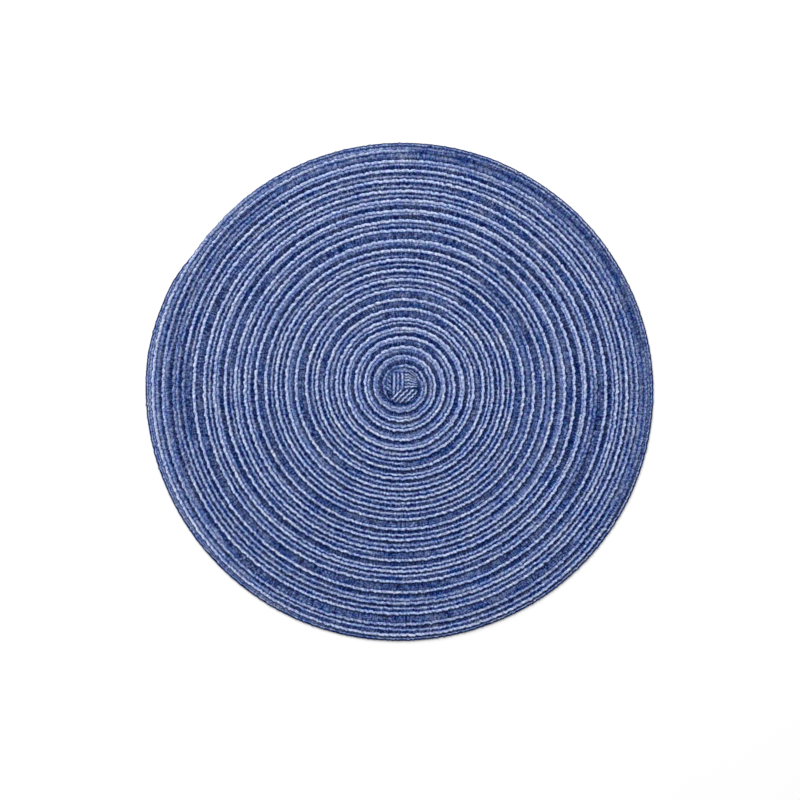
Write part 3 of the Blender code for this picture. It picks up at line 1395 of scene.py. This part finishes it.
@dataclass(frozen=True)
class Facet:
    """One flat of the folded pad, with the strap's ribs on it.

    Attributes:
        runs: Which way its ribs run, in degrees anticlockwise from +X.
        ribs: Where each rib lies, to the left of the spiral's centre, looking that way.
        folds: Its folded borders: for each, which way it runs, and how far to the left
            of the centre the facet starts.
        half_width: Half the width of a rib.
        tone: How pale the ribs are.
        level: How high the facet's ground lies.
        narrows, narrows_from: How much its ribs draw together towards the right, and
            from how far right of the centre.
        stitch, wave: Distance from stitch to stitch on a rib, and how far they swing
            it sideways.
        stray: How the ribs stray besides.
        flecks, patches: How the tone varies along a rib.
        fleck_step: How far apart the seeds of two ribs' flecks are.
        ground: Tone between the ribs: dark yarn with painted shade in the gaps.
        sharpness: Power that narrows the pale part of a rib's round.
        painted_fold_shade, fold_width: Painted shade at a fold: the share of that left there,
        and how far in it is full.
    """

    runs: float
    ribs: tuple[float, ...]
    folds: tuple[tuple[float, float], ...]
    half_width: float
    tone: float
    level: float
    narrows: float = 0.0
    narrows_from: float = 3.0
    stitch: float = 3.35
    wave: float = 0.14
    stray: Stray = Stray(1.2, 0.18)
    flecks: Stray = Stray(1.4, 0.16)
    patches: Stray = Stray(4.0, 0.10)
    fleck_step: float = 3.0
    ground: float = 0.14
    sharpness: float = 1.5
    painted_fold_shade: float = 0.45
    fold_width: float = 0.7

    def lay(self, x: np.ndarray, y: np.ndarray, seed: float) -> tuple[np.ndarray, ...]:
        """Lay the facet.

        Args:
            x: Places in millimetres from the spiral's centre.
            y: Places in millimetres from the spiral's centre.
            seed: Which noise its dye follows.

        Returns:
            How far inside its folds each place is, how much of a rib it is, and the
            tone there.
        """
        along, left = self._turned(x, y, self.runs)
        to_right = np.maximum(x - self.narrows_from, 0.0)
        left = left * (1.0 + self.narrows * to_right**2)
        left = left + self.wave * np.sin(FULL_TURN * along / self.stitch + seed)
        left = left + self.stray.at(along, seed)
        depth = np.full_like(x, np.inf)
        for direction, start in self.folds:
            depth = np.minimum(depth, self._turned(x, y, direction)[1] - start)
        rib = np.zeros_like(x)
        pale = np.zeros_like(x)
        for number, place in enumerate(self.ribs):
            here = rounded(left - place, self.half_width)
            dye = self.tone + self.flecks.at(along, seed + self.fleck_step * number)
            dye = dye + self.patches.at(along, seed + number)
            pale = np.where(here > rib, dye, pale)
            rib = np.maximum(rib, here)
        # Painted shade along the facet's folded borders.
        inward = np.clip(depth / self.fold_width, 0.0, 1.0)
        lit = self.painted_fold_shade + (1.0 - self.painted_fold_shade) * inward
        shown = rib**self.sharpness * lit
        # Between the ribs lies the ground: dark yarn with painted shade in the gaps.
        return depth, rib, self.ground + (pale - self.ground) * shown

    def _turned(
        self, x: np.ndarray, y: np.ndarray, direction: float
    ) -> tuple[np.ndarray, np.ndarray]:
        """Turn places to a direction.

        Args:
            x: Places in millimetres from the spiral's centre.
            y: Places in millimetres from the spiral's centre.
            direction: Degrees anticlockwise from +X.

        Returns:
            How far along the direction they lie, and how far to the left of it.
        """
        ray = math.radians(direction)
        along = x * math.cos(ray) + y * math.sin(ray)
        return along, y * math.cos(ray) - x * math.sin(ray)


@dataclass(frozen=True)
class FoldedPad:
    """The strap's first end, folded over itself into four ribbed facets.

    Lengths are in millimetres from the spiral's centre.

    Attributes:
        centre, half_width, half_length: Middle of its outline, and half its size.
        squareness: 2 gives an oval outline, more gives fuller corners.
        facets: From the lowest to the topmost: the right one, whose ribs draw together,
            the one with upright ribs, the slanting one, and the one at the lower left.
        first_seed, seed_step: Which noise the first facet follows, and each next one.
        painted_fold_shade, fold_shadow: Painted shadow of a fold that lies on top: the
        share of the tone left right beside it, and how far that shadow reaches.
        rib_rise: How far the ribs stand up.
        underside: Height of the pad's flat underside.
        side_height: How far the rim's foot lies above it.
        roundness: Power that keeps the top level until close to the rim.
        painted_rim_shade: Share of the tone left at the rim: painted shade where the top rounds
            down.
        cells: Cells of the grid from side to side.
        map_margin: Margin of the flat map.
        top_on_map, below_on_map: Where the top and the underside start on it, and how
            much of it each one takes.
    """

    winding: Winding = Winding()
    centre: tuple[float, float] = (-0.3, -0.15)
    half_width: float = 11.5
    half_length: float = 12.4
    squareness: float = 2.6
    facets: tuple[Facet, ...] = (
        Facet(
            runs=0.0,
            ribs=(-0.6, 1.7, 4.2, 6.3, 8.3, 11.0),
            folds=(),
            half_width=0.85,
            tone=0.72,
            level=3.35,
            narrows=0.016,
        ),
        Facet(
            runs=90.0,
            ribs=(-0.1, 3.1, 5.9, 9.0),
            folds=((90.0, -1.4), (180.0, -9.9)),
            half_width=1.0,
            tone=0.70,
            level=3.55,
        ),
        Facet(
            runs=-40.0,
            ribs=(-8.0, -5.6, -3.2, -0.8, 1.6),
            folds=((90.0, 8.0), (180.0, -9.9)),
            half_width=0.85,
            tone=0.68,
            level=3.45,
        ),
        Facet(
            runs=225.0,
            ribs=(1.6, 4.5, 7.4, 10.3, 12.6),
            folds=((225.0, 0.4), (180.0, 2.4)),
            half_width=0.75,
            tone=0.86,
            level=3.65,
        ),
    )
    first_seed: float = 40.0
    seed_step: float = 11.0
    painted_fold_shade: float = 0.35
    fold_shadow: float = 0.6
    rib_rise: float = 0.55
    underside: float = 1.85
    side_height: float = 0.25
    roundness: int = 10
    painted_rim_shade: float = 0.35
    cells: int = 110
    map_margin: float = 0.02
    top_on_map: tuple[float, float] = (0.34, 0.64)
    below_on_map: tuple[float, float] = (0.02, 0.28)

    def build(self, material: bpy.types.Material) -> bpy.types.Object:
        """Make the pad as one closed shell.

        Args:
            material: The yarn.

        Returns:
            The pad, which stands for nothing by itself.
        """
        side = np.linspace(-1.0, 1.0, self.cells + 1)
        a, b = np.meshgrid(side, side, indexing="ij")
        x, y, reach = self._outline(a, b)
        height, tone, groove = self._facets(x, y)
        rim = np.sqrt(np.clip(1.0 - reach**self.roundness, 0.0, 1.0))
        foot = self.underside + self.side_height
        height = foot + (height - foot) * rim
        # Painted shade where the top rounds down to the rim.
        tone = tone * (self.painted_rim_shade + (1.0 - self.painted_rim_shade) * rim)
        middle = self.winding.middle
        top = np.stack([x - middle[0], y - middle[1], height], axis=2)
        below = top.copy()
        below[:, :, 2] = self.underside
        shell = self._shell(top * MM, below * MM, tone, groove, x, y)
        piece = shell.to_object("folded_pad", material)
        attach(piece, BODY)
        LOG.info("%s: %d vertices", piece.name, len(piece.data.vertices))
        return piece

    def _outline(
        self, a: np.ndarray, b: np.ndarray
    ) -> tuple[np.ndarray, np.ndarray, np.ndarray]:
        """Turn a square grid into the pad's outline.

        The square is first bent into a disc, x = a sqrt(1 - b^2 / 2) and likewise for
        y, and each ray of the disc is then stretched to a superellipse.

        Args:
            a: First parameter, from -1 to 1.
            b: Second parameter, from -1 to 1.

        Returns:
            x and y in millimetres, and how far out each point is, from 0 to 1.
        """
        disc_x = a * np.sqrt(1.0 - b * b / 2.0)
        disc_y = b * np.sqrt(1.0 - a * a / 2.0)
        reach = np.hypot(disc_x, disc_y)
        angle = np.arctan2(disc_y, disc_x)
        p = self.squareness
        ray = (
            np.abs(np.cos(angle) / self.half_width) ** p
            + np.abs(np.sin(angle) / self.half_length) ** p
        ) ** (-1.0 / p)
        x = self.centre[0] + ray * reach * np.cos(angle)
        y = self.centre[1] + ray * reach * np.sin(angle)
        return x, y, np.clip(reach, 0.0, 1.0)

    def _facets(
        self, x: np.ndarray, y: np.ndarray
    ) -> tuple[np.ndarray, np.ndarray, np.ndarray]:
        """Heights, tones and grooves of the facets, each laid over those before it.

        Args:
            x: Places in millimetres.
            y: Places in millimetres.

        Returns:
            The height in millimetres, the tone, and how much each place is groove.
        """
        height, tone, groove = (np.zeros_like(x) for _ in range(3))
        for number, facet in enumerate(self.facets):
            seed = self.first_seed + self.seed_step * number
            depth, rib, dye = facet.lay(x, y, seed)
            inside = depth > 0.0
            height = np.where(inside, facet.level + self.rib_rise * rib, height)
            # Painted shadow that each facet casts beside its folds onto those under it.
            away = np.clip(-depth / self.fold_shadow, 0.0, 1.0)
            shaded = tone * (self.painted_fold_shade + (1.0 - self.painted_fold_shade) * away)
            tone = np.where(inside, dye, shaded)
            groove = np.where(inside, 1.0 - rib, groove)
        return height, tone, groove

    def _shell(
        self,
        top: np.ndarray,
        below: np.ndarray,
        tone: np.ndarray,
        groove: np.ndarray,
        x: np.ndarray,
        y: np.ndarray,
    ) -> Shell:
        """Join the top and the underside along their shared rim.

        Args:
            top: Places of the top's grid, in metres.
            below: Places of the underside's grid, in metres.
            tone: Tone of the top's grid.
            groove: How much each place of the top is groove.
            x: Places in millimetres, for the yarn map.
            y: Places in millimetres, for the yarn map.

        Returns:
            A closed shell with faces pointing outwards.
        """
        count = top.shape[0]
        upper = np.arange(count * count).reshape(count, count)
        lower = upper + count * count
        rim_of_upper = self._rim(upper)
        rim_of_lower = self._rim(lower)
        top_faces = self._quads(upper)
        bottom_faces = self._quads(lower)[:, ::-1]
        wall = np.stack(
            [
                rim_of_upper,
                rim_of_lower,
                np.roll(rim_of_lower, -1),
                np.roll(rim_of_upper, -1),
            ],
            axis=1,
        )
        faces = np.concatenate([top_faces, bottom_faces, wall])
        place = np.tile(np.stack([x, y], axis=2).reshape(-1, 2) * MM, (2, 1))
        grid = np.linspace(self.map_margin, 1.0 - self.map_margin, count)
        a, b = np.meshgrid(grid, grid, indexing="ij")
        halves = [
            np.stack([a, start + share * b], axis=2).reshape(-1, 2)
            for start, share in (self.top_on_map, self.below_on_map)
        ]
        flat = np.concatenate(halves)
        return Shell(
            points=np.concatenate([top.reshape(-1, 3), below.reshape(-1, 3)]),
            faces=faces,
            caps=[],
            maps={"yarn": place[faces.ravel()], "OFBake": flat[faces.ravel()]},
            values={
                "tone": np.tile(tone.ravel(), 2),
                "groove": np.tile(groove.ravel(), 2),
            },
        )

    def _quads(self, grid: np.ndarray) -> np.ndarray:
        """Faces of a grid of vertices, seen from above."""
        corners = [grid[:-1, :-1], grid[1:, :-1], grid[1:, 1:], grid[:-1, 1:]]
        return np.stack(corners, axis=2).reshape(-1, 4)

    def _rim(self, grid: np.ndarray) -> np.ndarray:
        """The vertices round a grid, anticlockwise from above."""
        sides = [grid[:-1, 0], grid[-1, :-1], grid[:0:-1, -1], grid[0, :0:-1]]
        return np.concatenate(sides)


# --- studio --------------------------------------------------------------------------


@dataclass(frozen=True)
class Studio:
    """A plain pale floor, soft light from above, and the camera of the photograph.

    Attributes:
        elevation: The camera's height above the horizon, in degrees.
        distance: From the camera to what it aims at, in metres.
        focal_px: Focal length, in pixels of the 800-pixel-wide picture.
        aim: The point in the middle of the picture, in metres.
        clip: The nearest and the farthest that the camera sees, in metres.
        sensor_mm: Width of the camera's sensor.
        floor_half_size, floor_drop: Half the floor's width, and how far it lies below
            the mat, in metres.
        sky: Strength of the even light from all round.
        softbox_size, softbox_watts, softbox_at: Width, power and place of the lamp.
    """

    elevation: float = 82.0
    distance: float = 1.30
    focal_px: float = 1825.0
    aim: tuple[float, float, float] = (0.0002, -0.0092, 0.0034)
    clip: tuple[float, float] = (0.05, 20.0)
    sensor_mm: float = 36.0
    floor_half_size: float = 3.0
    floor_drop: float = 0.0003
    sky: float = 0.62
    softbox_size: float = 2.0
    softbox_watts: float = 41.5
    softbox_at: tuple[float, float, float] = (-0.50, 1.10, 1.7)

    def build(self) -> None:
        """Make the floor, the lights and the camera."""
        self._floor()
        self._light()
        self._camera()
        bpy.context.scene.view_settings.view_transform = "Standard"
        LOG.info("studio is set")

    def _floor(self) -> None:
        """Lay a flat sheet of paper just under the mat."""
        half, level = self.floor_half_size, -self.floor_drop
        corners = [
            (-half, -half, level),
            (half, -half, level),
            (half, half, level),
            (-half, half, level),
        ]
        mesh = bpy.data.meshes.new("studio_floor")
        mesh.from_pydata(corners, [], [(0, 1, 2, 3)])
        mesh.materials.append(MattPaper().build())
        add_object("studio_floor", mesh)

    def _light(self) -> None:
        """Hang a large softbox overhead and light the room evenly."""
        lamp = bpy.data.lights.new("softbox", "AREA")
        lamp.shape = "SQUARE"
        lamp.size = self.softbox_size
        lamp.energy = self.softbox_watts
        softbox = add_object("softbox", lamp)
        softbox.location = self.softbox_at
        down = -Vector(self.softbox_at)
        softbox.rotation_euler = down.to_track_quat("-Z", "Y").to_euler()
        world = bpy.data.worlds.new("studio_room")
        world.use_nodes = True
        background = world.node_tree.nodes["Background"]
        background.inputs["Color"].default_value = (1.0, 1.0, 1.0, 1.0)
        background.inputs["Strength"].default_value = self.sky
        bpy.context.scene.world = world

    def _camera(self) -> None:
        """Set the camera at the photograph's angle, distance and framing."""
        lens = bpy.data.cameras.new("camera")
        lens.sensor_width = self.sensor_mm
        lens.lens = self.focal_px / IMAGE_WIDTH_PX * self.sensor_mm
        lens.clip_start, lens.clip_end = self.clip
        camera = add_object("camera", lens)
        rise = math.radians(self.elevation)
        back = Vector((0.0, -math.cos(rise), math.sin(rise)))
        camera.location = Vector(self.aim) + back * self.distance
        camera.rotation_mode = "QUATERNION"
        camera.rotation_quaternion = (-back).to_track_quat("-Z", "Y")
        bpy.context.scene.camera = camera


def main() -> None:
    """Build the placemat and its studio."""
    logging.basicConfig(level=logging.INFO, format="%(name)s: %(message)s")
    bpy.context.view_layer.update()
    Studio().build()
    yarn = SpaceDyedYarn().build()
    strap = Strap().build(yarn)
    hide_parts(MAT_NODE)
    FoldedPad().build(yarn)


if __name__ == "__main__":
    main()
